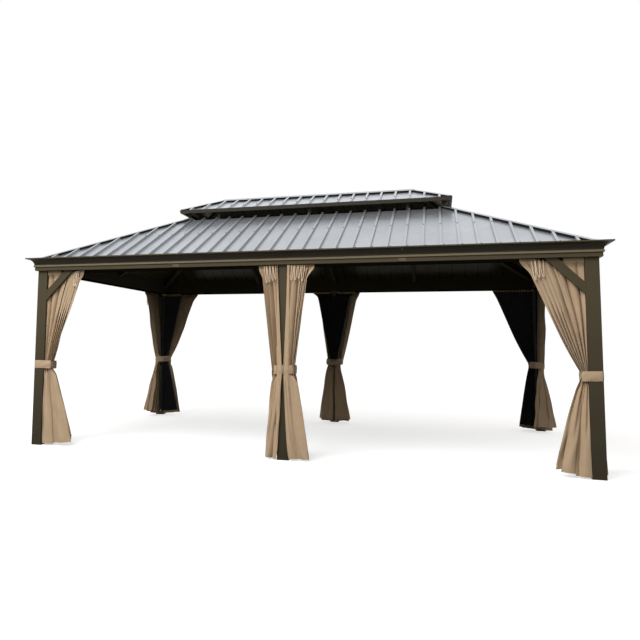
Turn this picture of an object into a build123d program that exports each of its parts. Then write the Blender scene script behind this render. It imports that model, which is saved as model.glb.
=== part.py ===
from build123d import *
import os
from math import cos, radians, sin, sqrt, tan

# Two-tier hardtop gazebo: six square posts, box beams, a crown-moulded gutter, ribbed steel roofs
# in two tiers, and curtains with insect nets tied back to the posts.
# Frame: +X along the length, -Y is the front, +Z up, origin on the ground at the centre. Millimetres.

os.makedirs("parts", exist_ok=True)

# Overall sizes
roof_length = 6100
roof_width = 3600
clear_height = 1985
joint_gap = 0.6
seat_gap = 0.3
overrun = 400

# Posts
post_size = 120
post_wall = 2.5
post_corner_radius = 4
base_plate_thickness = 6
anchor_hole_diameter = 12
anchor_spacing = 70

# Crown-moulded gutter round the eaves, measured outwards from the post faces and up from the beams
cornice_overhang = 108
cornice_height = 140
cornice_wall = 3
band_projection = 28
band_height = 38
bead_projection = 40
bead_foot = 42
bead_brow = 56
cove_foot = 62
cove_radius = 66
cornice_lip = 8
corner_leg = 145
long_joint_spacing = 2400
joint_plate_width = 70
joint_plate_height = 30
joint_plate_thickness = 2

# Lower roof
eave_inset = 72
eave_rise = 101
lower_angle = 27.0
lower_crown_half_width = 375
sheet_thickness = 3
rib_spacing = 174
rib_width = 24
rib_height = 25
rib_corner_margin = 150
hip_joint_gap = 2
cap_thickness = 3
hip_cap_half_width = 30

# Upper roof
upper_eave_overhang = 80
upper_eave_rise = 105
upper_angle = 24.5
upper_rib_margin = 100
ridge_cap_half_width = 48
ridge_cap_top_half_width = 14
ridge_cap_height = 4
fascia_height = 40
fascia_lip = 20
fascia_thickness = 3
fascia_lean = 8
fascia_return = 30

# Roof frame
beam_wall = 3
beam_groove_height = 130
beam_groove_width = 14
beam_groove_depth = 1.5
rafter_width = 44
rafter_depth = 62
rafter_end_inset = 425
hip_rafter_width = 56
hip_rafter_depth = 96
purlin_width = 42
purlin_depth = 30
purlin_run_share = 0.52
crown_bar_width = 44
crown_bar_depth = 90
strut_size = 32
upper_ring_width = 34
upper_ring_depth = 20
ridge_bar_width = 40
ridge_bar_depth = 46
upper_hip_width = 36
upper_hip_depth = 34

# Corner braces, 45 degrees, flush with the outer faces of the posts
brace_leg = 340
brace_width = 78
brace_thickness = 24

# Curtain rails, curtains, insect nets and tie-back straps
rail_width = 76
rail_height = 22
rail_setback = 26
rail_end_gap = 1
track_width = 16
track_depth = 15
track_slot = 6
curtain_setback = 30
curtain_depth = 58
net_depth = 26
layer_gap = 2
hem_height = 16
tie_height = 905
tie_strap_width = 90
tie_strap_thickness = 2.5
curtain_post_gap = 1.5
corner_top_width = 510
middle_top_width = 290
tie_width = 105
corner_hem_width = 310
middle_hem_width = 170
net_top_share = 0.8
net_hem_share = 0.8
belly_height_share = 0.27
belly_width_share = 0.34

# Derived places
post_face_x = roof_length / 2 - cornice_overhang
post_face_y = roof_width / 2 - cornice_overhang
eave_half_length = roof_length / 2 - eave_inset
eave_half_width = roof_width / 2 - eave_inset
eave_height = clear_height + eave_rise
lower_tan = tan(radians(lower_angle))
upper_tan = tan(radians(upper_angle))
beam_top = eave_rise + lower_tan * (cornice_overhang - eave_inset)
gutter_back = beam_top - lower_tan * cornice_wall - seat_gap
hip_offset = eave_half_length - eave_half_width
lower_crown_half_length = lower_crown_half_width + hip_offset
rafter_spacing = lower_crown_half_length - rafter_end_inset
crown_height = eave_height + lower_tan * (eave_half_width - lower_crown_half_width)
upper_half_width = lower_crown_half_width + upper_eave_overhang
upper_half_length = lower_crown_half_length + upper_eave_overhang
upper_eave_height = crown_height + upper_eave_rise
ridge_height = upper_eave_height + upper_tan * upper_half_width
ridge_half_length = upper_half_length - upper_half_width
panel_lift = (sheet_thickness + rib_height) / cos(radians(lower_angle))
upper_panel_lift = (sheet_thickness + rib_height) / cos(radians(upper_angle))
inner_face_x = post_face_x - post_size
inner_face_y = post_face_y - post_size

# Each side: turn about Z from the front, half its own length, half the distance to the far side
SIDES = {
    "front": (0, True),
    "right": (90, False),
    "back": (180, True),
    "left": (270, False),
}


def halves(is_long, half_length, half_width):
    """Half sizes along and across one side, for a rectangle that runs round the building."""
    return (half_length, half_width) if is_long else (half_width, half_length)


def turned(piece, turn):
    """A front piece carried round to another side of the building."""
    with BuildPart() as placed:
        add(piece, rotation=(0, 0, turn))
    return placed.part


def gathered(pieces):
    """Like pieces of one node, kept together as solids that do not touch."""
    with BuildPart() as group:
        for piece in pieces:
            add(piece)
    return group.part


def save(piece, name):
    """Labels a finished piece and writes it as one STEP file."""
    piece.label = name
    export_step(piece, f"parts/{name}.step")


def section_plane(face_half, height, along=0):
    """Section plane of a front piece: sketch x runs outwards from a face, sketch y runs up."""
    return Plane(origin=(along, -face_half, height), x_dir=(0, -1, 0), z_dir=(-1, 0, 0))


def mitre_planes(half_along, half_across):
    """Upright 45 degree planes through the two ends of a front piece, pointing outwards."""
    inset = joint_gap / 2
    right_end = Plane(origin=(half_along - inset, -half_across - inset, 0), z_dir=(1, 1, 0))
    left_end = Plane(origin=(inset - half_along, -half_across - inset, 0), z_dir=(-1, 1, 0))
    return right_end, left_end


def slope_plane(half_across, height, angle):
    """Underside plane of a front roof slope: sketch x along the eave, sketch y up the slope."""
    lean = radians(angle)
    return Plane(origin=(0, -half_across, height), x_dir=(1, 0, 0), z_dir=(0, -sin(lean), cos(lean)))


# Posts: square tubes on welded base plates with four anchor holes
def post():
    with BuildPart() as tube:
        with BuildSketch():
            RectangleRounded(post_size, post_size, post_corner_radius)
        extrude(amount=clear_height)
        with BuildSketch(Plane.XY.offset(base_plate_thickness)):
            inside = post_size - 2 * post_wall
            RectangleRounded(inside, inside, post_corner_radius - post_wall)
        extrude(amount=clear_height, mode=Mode.SUBTRACT)
        with BuildSketch():
            with GridLocations(anchor_spacing, anchor_spacing, 2, 2):
                Circle(anchor_hole_diameter / 2)
        extrude(amount=base_plate_thickness, mode=Mode.SUBTRACT)
    return tube.part


def make_posts():
    centre_x = post_face_x - post_size / 2
    centre_y = post_face_y - post_size / 2
    tube = post()
    columns = {"left": -centre_x, "middle": 0, "right": centre_x}
    rows = {"front": -centre_y, "back": centre_y}
    for row, y in rows.items():
        for column, x in columns.items():
            with BuildPart() as placed:
                with Locations((x, y)):
                    add(tube)
            save(placed.part, f"{row}_{column}_post")


# Beams: box sections whose tops lie under the roof sheets, mitred over the corner posts
def beam(is_long):
    half_along, half_across = halves(is_long, post_face_x, post_face_y)
    inner_top = beam_top + lower_tan * post_size
    right_end, left_end = mitre_planes(half_along, half_across)
    with BuildPart() as box:
        with BuildSketch(section_plane(half_across, clear_height)):
            with BuildLine():
                Polyline((0, 0), (0, beam_top), (-post_size, inner_top), (-post_size, 0), close=True)
            make_face()
            offset(amount=-beam_wall, kind=Kind.INTERSECTION, mode=Mode.SUBTRACT)
            with Locations((-post_size + beam_groove_depth / 2, beam_groove_height)):
                Rectangle(beam_groove_depth, beam_groove_width, mode=Mode.SUBTRACT)
        extrude(amount=half_along, both=True)
        split(bisect_by=right_end, keep=Keep.BOTTOM)
        split(bisect_by=left_end, keep=Keep.BOTTOM)
        if is_long:
            with BuildSketch(Plane.XY.offset(clear_height)):
                with Locations((0, -half_across + post_size / 2)):
                    Rectangle(joint_gap, post_size + overrun)
            extrude(amount=inner_top, mode=Mode.SUBTRACT)
    return box.part


# Gutter cornice: band, bead and cove outside, an open trough inside
def cornice_section():
    """Closed profile of the cornice: x outwards from the post faces, y up from the beams."""
    cove_x = cornice_overhang - cornice_lip
    lip_foot = cove_foot + cove_radius
    with BuildSketch() as profile:
        with BuildLine():
            Polyline(
                (0, gutter_back),
                (0, 0),
                (band_projection, 0),
                (band_projection, band_height),
                (bead_projection, bead_foot),
                (bead_projection, bead_brow),
                (cove_x - cove_radius, cove_foot),
            )
            CenterArc((cove_x, cove_foot), cove_radius, 180, -90)
            Polyline(
                (cove_x, lip_foot),
                (cornice_overhang, lip_foot),
                (cornice_overhang, cornice_height),
                (cornice_overhang - cornice_wall, cornice_height),
                (cornice_overhang - cornice_wall, lip_foot + cornice_wall),
                (cove_x, lip_foot + cornice_wall),
            )
            CenterArc((cove_x, cove_foot), cove_radius + cornice_wall, 90, 90)
            Polyline(
                (cove_x - cove_radius - cornice_wall, cove_foot),
                (band_projection - cornice_wall, cove_foot),
                (band_projection - cornice_wall, cornice_wall),
                (cornice_wall, cornice_wall),
                (cornice_wall, gutter_back),
                (0, gutter_back),
            )
        make_face()
    return profile.sketch


def cornice(is_long):
    """Straight lengths of one side between the two corner pieces, with a gap at each butt joint."""
    half_along, half_across = halves(is_long, post_face_x, post_face_y)
    straight_half = half_along + cornice_overhang - corner_leg - joint_gap
    joint_count = 2 if is_long else 1
    with BuildPart() as lengths:
        with BuildSketch(section_plane(half_across, clear_height)):
            add(cornice_section())
        extrude(amount=straight_half, both=True)
        with BuildSketch(Plane.XY.offset(clear_height)):
            with Locations((0, -half_across)):
                with GridLocations(long_joint_spacing, 0, joint_count, 1):
                    Rectangle(joint_gap, 2 * cornice_overhang + overrun)
        extrude(amount=cornice_height, mode=Mode.SUBTRACT)
    return lengths.part


def cornice_corners():
    """Four mitred corner pieces of the same section."""
    leg_start = post_face_x + cornice_overhang - corner_leg
    diagonal = Plane(origin=(post_face_x, -post_face_y, 0), z_dir=(1, 1, 0))
    with BuildPart() as corners:
        with BuildSketch(section_plane(post_face_y, clear_height, leg_start)):
            add(cornice_section())
        extrude(amount=-corner_leg)
        split(bisect_by=diagonal, keep=Keep.BOTTOM)
        mirror(about=diagonal)
        mirror(about=Plane.YZ)
        mirror(about=Plane.XZ)
    return corners.part


def joint_plates():
    """Small cover plates on the band at every butt joint of the cornice."""
    plate_z = clear_height + band_height / 2
    long_face = post_face_y + band_projection
    end_face = post_face_x + band_projection
    with BuildPart() as plates:
        with BuildSketch(Plane(origin=(0, -long_face, plate_z), x_dir=(1, 0, 0), z_dir=(0, -1, 0))):
            with GridLocations(long_joint_spacing, 0, 2, 1):
                Rectangle(joint_plate_width, joint_plate_height)
        extrude(amount=joint_plate_thickness)
        mirror(about=Plane.XZ)
        for direction in (1, -1):
            place = Plane(origin=(direction * end_face, 0, plate_z), x_dir=(0, 1, 0), z_dir=(direction, 0, 0))
            with BuildSketch(place):
                Rectangle(joint_plate_width, joint_plate_height)
            extrude(amount=joint_plate_thickness)
    return plates.part


# Roof slopes: one sheet with standing ribs for each side of each tier
def roof_slope(half_along, half_across, height, angle, top_half_across, margin):
    """A ribbed sheet, cut in plan along its hips and along its top edge."""
    plane = slope_plane(half_across, height, angle)
    run = half_across - top_half_across
    length = run / cos(radians(angle))
    ribs = 2 * int((half_along - margin) / rib_spacing) + 1
    bottom = half_along - hip_joint_gap
    top = bottom - run
    corners = [(-bottom, -half_across), (bottom, -half_across)]
    if top > hip_joint_gap:
        corners += [(top, -top_half_across), (-top, -top_half_across)]
    else:
        corners += [(0, bottom - half_across)]
    with BuildPart() as slope:
        with BuildSketch(plane):
            with Locations((0, length / 2)):
                Rectangle(2 * half_along, length + overrun)
        extrude(amount=sheet_thickness)
        with BuildSketch(plane.offset(sheet_thickness)):
            with Locations((0, length / 2)):
                with GridLocations(rib_spacing, 0, ribs, 1):
                    Rectangle(rib_width, length + overrun)
        extrude(amount=rib_height)
        with BuildSketch():
            with BuildLine():
                Polyline(*corners, close=True)
            make_face()
        extrude(amount=height + run + overrun, mode=Mode.INTERSECT)
    return slope.part


def make_slopes():
    for side, (turn, is_long) in SIDES.items():
        along, across = halves(is_long, eave_half_length, eave_half_width)
        _, top = halves(is_long, lower_crown_half_length, lower_crown_half_width)
        lower = roof_slope(along, across, eave_height, lower_angle, top + hip_joint_gap, rib_corner_margin)
        save(turned(lower, turn), f"lower_roof_{side}")
        along, across = halves(is_long, upper_half_length, upper_half_width)
        _, top = halves(is_long, ridge_half_length, 0)
        upper = roof_slope(along, across, upper_eave_height, upper_angle, top + hip_joint_gap, upper_rib_margin)
        save(turned(upper, turn), f"upper_roof_{side}")


# Bars and caps along the hips, made on the front right hip and mirrored to the other three
def hip_pieces(outer, inner, half_width, plane, thickness, floor=None):
    """A strip along one hip on the front slope, mirrored over the hip and to all four corners."""
    side_step = half_width * sqrt(2)
    diagonal = Plane(origin=(*outer, 0), z_dir=(1, 1, 0))
    with BuildPart() as strip:
        with BuildSketch(plane):
            Rectangle(roof_length + overrun, 2 * roof_width)
        extrude(amount=thickness)
        with BuildSketch():
            with BuildLine():
                Polyline(
                    outer,
                    inner,
                    (inner[0] - side_step, inner[1]),
                    (outer[0] - side_step, outer[1]),
                    close=True,
                )
            make_face()
        extrude(amount=2 * ridge_height, mode=Mode.INTERSECT)
        if floor:
            split(bisect_by=floor, keep=Keep.TOP)
        mirror(about=diagonal)
        mirror(about=Plane.YZ)
        mirror(about=Plane.XZ)
    return strip.part


def hip_floor(corner, height, slope_tan):
    """Flat underside of a hip bar: it climbs along the hip and is level across it."""
    return Plane(origin=(*corner, height), z_dir=(slope_tan, -slope_tan, 2))


def make_hip_parts():
    lower_plane = slope_plane(eave_half_width, eave_height, lower_angle)
    upper_plane = slope_plane(upper_half_width, upper_eave_height, upper_angle)
    panel_top = sheet_thickness + rib_height

    eave_corner = (eave_half_length, -eave_half_width)
    crown_corner = (lower_crown_half_length + joint_gap, -lower_crown_half_width - joint_gap)
    caps = hip_pieces(eave_corner, crown_corner, hip_cap_half_width, lower_plane.offset(panel_top), cap_thickness)
    save(caps, "hip_caps")

    beam_corner = (inner_face_x - joint_gap, -inner_face_y + joint_gap)
    beam_rise = lower_tan * (eave_half_width - inner_face_y)
    floor = hip_floor(beam_corner, eave_height + beam_rise - hip_rafter_depth, lower_tan)
    rafters = hip_pieces(
        beam_corner, crown_corner, hip_rafter_width / 2, lower_plane, -2 * hip_rafter_depth, floor
    )
    save(rafters, "hip_rafters")

    upper_corner = (upper_half_length, -upper_half_width)
    ridge_corner = (ridge_half_length + ridge_cap_half_width, -ridge_cap_half_width)
    caps = hip_pieces(upper_corner, ridge_corner, hip_cap_half_width, upper_plane.offset(panel_top), cap_thickness)
    save(caps, "upper_hip_caps")

    ring_inner = lower_crown_half_width - upper_ring_width - joint_gap
    ring_corner = (ring_inner + ridge_half_length, -ring_inner)
    bar_half = upper_hip_width / sqrt(2) + joint_gap
    bar_corner = (ridge_half_length + bar_half, -bar_half)
    ring_rise = upper_tan * (upper_half_width - ring_inner)
    floor = hip_floor(ring_corner, upper_eave_height + ring_rise - upper_hip_depth, upper_tan)
    rafters = hip_pieces(ring_corner, bar_corner, upper_hip_width / 2, upper_plane, -2 * upper_hip_depth, floor)
    save(rafters, "upper_hip_rafters")


# Bars under the slopes
def bar_under_slope(plane, depth, outlines):
    """Bars whose tops lie under a front slope, cut to the given plan rectangles (x, y, width, run)."""
    with BuildPart() as bars:
        with BuildSketch(plane):
            Rectangle(roof_length + overrun, 2 * roof_width)
        extrude(amount=-depth)
        with BuildSketch():
            for x, y, width, run in outlines:
                with Locations((x, y)):
                    Rectangle(width, run)
        extrude(amount=2 * ridge_height, mode=Mode.INTERSECT)
    return bars.part


def rafters_of_side(is_long):
    """Rafters of the front or an end, from the beam up to the crown frame."""
    _, across = halves(is_long, eave_half_length, eave_half_width)
    _, inner = halves(is_long, inner_face_x, inner_face_y)
    _, crown = halves(is_long, lower_crown_half_length, lower_crown_half_width)
    places = (-rafter_spacing, 0, rafter_spacing) if is_long else (0,)
    run = inner - crown - 2 * joint_gap
    outlines = [(x, -(inner + crown) / 2, rafter_width, run) for x in places]
    return bar_under_slope(slope_plane(across, eave_height, lower_angle), rafter_depth, outlines)


def purlins_of_side(is_long):
    """Purlins of the front or an end, cut between the rafters and the hips."""
    _, across = halves(is_long, eave_half_length, eave_half_width)
    _, crown = halves(is_long, lower_crown_half_length, lower_crown_half_width)
    y = across - purlin_run_share * (across - crown)
    hip_x = y + (hip_offset if is_long else -hip_offset)
    outer = hip_x - hip_rafter_width / sqrt(2) - joint_gap - purlin_width / 2
    outlines = []
    for stop in (rafter_spacing, 0) if is_long else (0,):
        start = stop + rafter_width / 2 + joint_gap
        outlines += [(sign * (start + outer) / 2, -y, outer - start, purlin_width) for sign in (1, -1)]
        outer = stop - rafter_width / 2 - joint_gap
    return bar_under_slope(slope_plane(across, eave_height, lower_angle), purlin_depth, outlines)


def make_rafters_and_purlins():
    save(gathered([turned(rafters_of_side(is_long), turn) for turn, is_long in SIDES.values()]), "rafters")
    save(gathered([turned(purlins_of_side(is_long), turn) for turn, is_long in SIDES.values()]), "purlins")


# Crown: the frame round the opening of the lower roof, its struts, and the ring under the upper roof
def ring_bar(along, across, width, depth, height, roof=None):
    """One mitred bar of a ring, outside face on its rectangle; a roof plane trims its top."""
    right_end, left_end = mitre_planes(along, across)
    with BuildPart() as bar:
        with BuildSketch(section_plane(across, height)):
            Rectangle(width, depth, align=(Align.MAX, Align.MIN))
        extrude(amount=along, both=True)
        split(bisect_by=right_end, keep=Keep.BOTTOM)
        split(bisect_by=left_end, keep=Keep.BOTTOM)
        if roof:
            split(bisect_by=roof, keep=Keep.BOTTOM)
    return bar.part


def make_crown():
    crown_top = crown_height + sheet_thickness
    ring_floor = upper_eave_height + upper_tan * upper_eave_overhang - upper_ring_depth
    crown = []
    ring = []
    for turn, is_long in SIDES.values():
        along, across = halves(is_long, lower_crown_half_length, lower_crown_half_width)
        _, eave = halves(is_long, upper_half_length, upper_half_width)
        roof = slope_plane(eave, upper_eave_height, upper_angle)
        low = ring_bar(along, across, crown_bar_width, crown_bar_depth, crown_top - crown_bar_depth)
        crown.append(turned(low, turn))
        high = ring_bar(along, across, upper_ring_width, 2 * upper_ring_depth, ring_floor, roof)
        ring.append(turned(high, turn))
    save(gathered(crown), "crown_frame")
    save(gathered(ring), "upper_ring")

    strut_y = lower_crown_half_width - strut_size / 2
    strut_x = lower_crown_half_length - strut_size / 2
    with BuildPart() as struts:
        with BuildSketch(Plane.XY.offset(crown_top)):
            with GridLocations(rafter_spacing, 2 * strut_y, 3, 2):
                Rectangle(strut_size, strut_size)
            with GridLocations(2 * strut_x, 2 * strut_y, 2, 2):
                Rectangle(strut_size, strut_size)
            with GridLocations(2 * strut_x, 0, 2, 1):
                Rectangle(strut_size, strut_size)
        extrude(amount=ring_floor - crown_top)
    save(struts.part, "crown_struts")

    bar_drop = upper_tan * ridge_bar_width / 2
    with BuildPart() as bar:
        with BuildSketch(Plane(origin=(0, 0, ridge_height), x_dir=(0, 1, 0), z_dir=(1, 0, 0))):
            with BuildLine():
                Polyline(
                    (0, 0),
                    (ridge_bar_width / 2, -bar_drop),
                    (ridge_bar_width / 2, -ridge_bar_depth),
                    (-ridge_bar_width / 2, -ridge_bar_depth),
                    (-ridge_bar_width / 2, -bar_drop),
                    close=True,
                )
            make_face()
        extrude(amount=ridge_half_length, both=True)
    save(bar.part, "ridge_bar")


# Ridge cap: a folded strip on the ribs of both upper slopes, trimmed along the end slopes
def make_ridge_cap():
    foot_drop = upper_tan * ridge_cap_half_width
    lean = radians(upper_angle)
    panel_top = sheet_thickness + rib_height
    with BuildPart() as cap:
        with BuildSketch(Plane(origin=(0, 0, ridge_height + upper_panel_lift), x_dir=(0, 1, 0), z_dir=(1, 0, 0))):
            with BuildLine():
                Polyline(
                    (ridge_cap_half_width, -foot_drop),
                    (ridge_cap_half_width, cap_thickness - foot_drop),
                    (ridge_cap_top_half_width, ridge_cap_height),
                    (-ridge_cap_top_half_width, ridge_cap_height),
                    (-ridge_cap_half_width, cap_thickness - foot_drop),
                    (-ridge_cap_half_width, -foot_drop),
                    (-ridge_cap_top_half_width, ridge_cap_height - cap_thickness),
                    (ridge_cap_top_half_width, ridge_cap_height - cap_thickness),
                    close=True,
                )
            make_face()
        extrude(amount=ridge_half_length + ridge_cap_half_width, both=True)
        for direction in (1, -1):
            foot = (direction * upper_half_length, 0, upper_eave_height)
            end_slope = Plane(origin=foot, z_dir=(direction * sin(lean), 0, cos(lean)))
            split(bisect_by=end_slope.offset(panel_top + cap_thickness), keep=Keep.BOTTOM)
    save(cap.part, "ridge_cap")


# Upper fascia: a leaning strip over the ends of the sheets with a return under them, mitred at the corners
def fascia_strip(along, across):
    right_end, left_end = mitre_planes(along, across)
    edge = fascia_thickness + seat_gap + fascia_lean * fascia_lip / (fascia_height - fascia_thickness)
    foot = edge - fascia_lean - fascia_return
    low = fascia_lip - fascia_height
    with BuildPart() as strip:
        with BuildSketch(section_plane(across, upper_eave_height)):
            with BuildLine():
                Polyline(
                    (edge, fascia_lip),
                    (edge - fascia_lean, low),
                    (foot, low),
                    (foot, low + fascia_thickness),
                    (edge - fascia_lean - fascia_thickness, low + fascia_thickness),
                    (edge - fascia_thickness, fascia_lip),
                    close=True,
                )
            make_face()
        extrude(amount=along + edge, both=True)
        split(bisect_by=right_end, keep=Keep.BOTTOM)
        split(bisect_by=left_end, keep=Keep.BOTTOM)
    return strip.part


def make_upper_fascia():
    strips = []
    for turn, is_long in SIDES.values():
        strip = fascia_strip(*halves(is_long, upper_half_length, upper_half_width))
        strips.append(turned(strip, turn))
    save(gathered(strips), "upper_fascia")


# Corner braces: two on each corner post, one under each beam
def brace_pair(is_long):
    """The two braces under one beam, seen as the front."""
    half_along, _ = halves(is_long, inner_face_x, inner_face_y)
    _, half_across = halves(is_long, post_face_x, post_face_y)
    edge = brace_leg - brace_width * sqrt(2)
    corner = Plane(origin=(half_along, -half_across, clear_height), x_dir=(-1, 0, 0), z_dir=(0, 1, 0))
    with BuildPart() as pair:
        with BuildSketch(corner):
            with BuildLine():
                Polyline((edge, 0), (brace_leg, 0), (0, -brace_leg), (0, -edge), close=True)
            make_face()
        extrude(amount=brace_thickness)
        mirror(about=Plane.YZ)
    return pair.part


def make_braces():
    save(gathered([turned(brace_pair(is_long), turn) for turn, is_long in SIDES.values()]), "corner_braces")


# Curtain rails: twin-track extrusions under the beams, one between each two posts
def bays(is_long):
    """Ends (low, high) of each clear bay on one side, between the post faces."""
    if is_long:
        return ((-inner_face_x, -post_size / 2), (post_size / 2, inner_face_x))
    return ((-inner_face_y, inner_face_y),)


def rail(face_half, low, high):
    """One rail of the front, with a hollow track for the curtain and one for the net."""
    plane = section_plane(face_half - rail_setback, clear_height, (low + high) / 2)
    with BuildPart() as track:
        with BuildSketch(plane):
            Rectangle(rail_width, rail_height, align=(Align.MAX, Align.MAX))
            with Locations((-rail_width / 2, -rail_height / 2)):
                with GridLocations(rail_width / 2, 0, 2, 1):
                    Rectangle(track_width, track_depth, mode=Mode.SUBTRACT)
            with Locations((-rail_width / 2, -rail_height)):
                with GridLocations(rail_width / 2, 0, 2, 1):
                    Rectangle(track_slot, rail_height, mode=Mode.SUBTRACT)
        extrude(amount=(high - low) / 2 - rail_end_gap, both=True)
    return track.part


def make_rails():
    rails = []
    for turn, is_long in SIDES.values():
        _, face_half = halves(is_long, post_face_x, post_face_y)
        rails += [turned(rail(face_half, low, high), turn) for low, high in bays(is_long)]
    save(gathered(rails), "curtain_rails")


# Curtains and nets: closed bundles that hang from the rails and are gathered at the tie
def bundle(face_half, post_x, direction, top_width, hem_width, setback, depth):
    """One bundle beside a post on the front; direction is the way that it spreads along the rail."""
    top = clear_height - rail_height - seat_gap
    belly_z = tie_height + belly_height_share * (top - tie_height)
    belly = tie_width + belly_width_share * (top_width - tie_width)
    stations = (
        (hem_height, hem_width),
        (tie_height - tie_strap_width / 2, tie_width),
        (tie_height + tie_strap_width / 2, tie_width),
        (belly_z, belly),
        (top, top_width),
    )
    y = -face_half + setback + depth / 2
    with BuildPart() as cloth:
        for height, width in stations:
            x = post_x + direction * (curtain_post_gap + width / 2)
            with BuildSketch(Plane.XY.offset(height)):
                with Locations((x, y)):
                    Rectangle(width, depth)
        loft(ruled=True)
    return cloth.part


def bundles(is_long, is_net):
    """All the bundles of one side at the front, by the post that they are tied to."""
    _, face = halves(is_long, post_face_x, post_face_y)
    corner, _ = halves(is_long, inner_face_x, inner_face_y)
    setback = curtain_setback + (curtain_depth + layer_gap if is_net else 0)
    depth = net_depth if is_net else curtain_depth
    top_share = net_top_share if is_net else 1
    hem_share = net_hem_share if is_net else 1
    places = {
        "left": (-corner, 1, corner_top_width, corner_hem_width),
        "right": (corner, -1, corner_top_width, corner_hem_width),
    }
    if is_long:
        places["middle_left"] = (-post_size / 2, -1, middle_top_width, middle_hem_width)
        places["middle_right"] = (post_size / 2, 1, middle_top_width, middle_hem_width)
    return {
        name: bundle(face, x, way, top * top_share, hem * hem_share, setback, depth)
        for name, (x, way, top, hem) in places.items()
    }


# Each post with the two bundles tied to it: (side, place as seen from outside that side)
TIED_BUNDLES = {
    "front_left": (("front", "left"), ("left", "right")),
    "front_middle": (("front", "middle_left"), ("front", "middle_right")),
    "front_right": (("front", "right"), ("right", "left")),
    "back_left": (("back", "right"), ("left", "left")),
    "back_middle": (("back", "middle_left"), ("back", "middle_right")),
    "back_right": (("back", "left"), ("right", "right")),
}


def make_bundles():
    for layer, is_net in (("curtains", False), ("nets", True)):
        made = {is_long: bundles(is_long, is_net) for is_long in (True, False)}
        for place, pair in TIED_BUNDLES.items():
            hung = []
            for side, end in pair:
                turn, is_long = SIDES[side]
                hung.append(turned(made[is_long][end], turn))
            save(gathered(hung), f"{place}_{layer}")


# Tie-back straps: closed bands round a post and its gathered bundles
def strap(outline):
    with BuildPart() as band:
        with BuildSketch(Plane.XY.offset(tie_height - tie_strap_width / 2)):
            with BuildLine():
                Polyline(*outline, close=True)
            make_face()
            offset(amount=seat_gap + tie_strap_thickness, kind=Kind.INTERSECTION)
        extrude(amount=tie_strap_width)
        with BuildSketch(Plane.XY.offset(tie_height - tie_strap_width / 2)):
            with BuildLine():
                Polyline(*outline, close=True)
            make_face()
            offset(amount=seat_gap, kind=Kind.INTERSECTION)
        extrude(amount=tie_strap_width, mode=Mode.SUBTRACT)
    return band.part


def make_straps():
    reach = post_size + curtain_post_gap + tie_width
    near = curtain_setback
    far = curtain_setback + curtain_depth + layer_gap + net_depth
    corner_outline = [
        (0, 0),
        (-post_size, 0),
        (-reach, near),
        (-reach, far),
        (-far, reach),
        (-near, reach),
        (0, post_size),
    ]
    corner_outline = [(post_face_x + u, -post_face_y + v) for u, v in corner_outline]
    half = post_size / 2
    arm = reach - half
    middle_outline = [
        (-half, 0),
        (half, 0),
        (arm, near),
        (arm, far),
        (half, post_size),
        (-half, post_size),
        (-arm, far),
        (-arm, near),
    ]
    middle_outline = [(u, -post_face_y + v) for u, v in middle_outline]
    corner_strap = strap(corner_outline)
    middle_strap = strap(middle_outline)
    with BuildPart() as straps:
        add(corner_strap)
        mirror(about=Plane.YZ)
        add(middle_strap)
        mirror(about=Plane.XZ)
    save(straps.part, "tie_back_straps")


make_posts()
for side, (turn, is_long) in SIDES.items():
    save(turned(beam(is_long), turn), f"{side}_beam")
    save(turned(cornice(is_long), turn), f"{side}_cornice")
save(cornice_corners(), "cornice_corners")
save(joint_plates(), "cornice_joint_plates")
make_slopes()
make_hip_parts()
make_rafters_and_purlins()
make_crown()
make_ridge_cap()
make_upper_fascia()
make_braces()
make_rails()
make_bundles()
make_straps()
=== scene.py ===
import math

import bmesh
import bpy
import numpy as np
from bpy.props import FloatProperty, FloatVectorProperty, IntProperty, PointerProperty
from mathutils import Matrix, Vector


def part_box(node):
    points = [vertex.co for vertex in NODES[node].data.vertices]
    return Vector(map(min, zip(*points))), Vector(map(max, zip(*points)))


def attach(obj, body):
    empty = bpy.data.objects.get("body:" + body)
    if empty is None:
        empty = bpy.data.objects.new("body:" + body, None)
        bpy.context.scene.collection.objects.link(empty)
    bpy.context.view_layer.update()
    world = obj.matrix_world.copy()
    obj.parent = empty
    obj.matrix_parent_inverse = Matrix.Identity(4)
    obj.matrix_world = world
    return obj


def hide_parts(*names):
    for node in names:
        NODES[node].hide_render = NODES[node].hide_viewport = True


bl_info = {
    "name": "Two-tier hardtop gazebo",
    "version": (1, 0, 0),
    "blender": (4, 5, 0),
    "location": "View3D > Sidebar > Gazebo",
    "description": "Finishes, cloth, fasteners and stage of a two-tier hardtop gazebo",
    "category": "Object",
}

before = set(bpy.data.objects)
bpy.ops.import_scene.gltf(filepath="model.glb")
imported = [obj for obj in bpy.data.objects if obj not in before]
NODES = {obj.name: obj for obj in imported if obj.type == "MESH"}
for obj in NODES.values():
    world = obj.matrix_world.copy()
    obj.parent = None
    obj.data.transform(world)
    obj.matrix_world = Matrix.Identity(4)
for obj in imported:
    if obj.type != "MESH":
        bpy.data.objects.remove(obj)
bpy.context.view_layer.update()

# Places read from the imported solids, in metres
POST_LOW, POST_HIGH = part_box("front_right_post")
RAIL_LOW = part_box("curtain_rails")[0]
STRAP_LOW, STRAP_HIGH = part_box("tie_back_straps")
POST_SIZE = POST_HIGH.x - POST_LOW.x
POST_FACE_X = POST_HIGH.x
POST_FACE_Y = -POST_LOW.y
BEAM_HEIGHT = POST_HIGH.z
RAIL_FOOT = RAIL_LOW.z
RAIL_SETBACK = POST_FACE_Y + RAIL_LOW.y
BRACE_REACH = BEAM_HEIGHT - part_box("corner_braces")[0].z
TIE_HEIGHT = (STRAP_LOW.z + STRAP_HIGH.z) / 2
STRAP_WIDTH = STRAP_HIGH.z - STRAP_LOW.z

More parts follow.
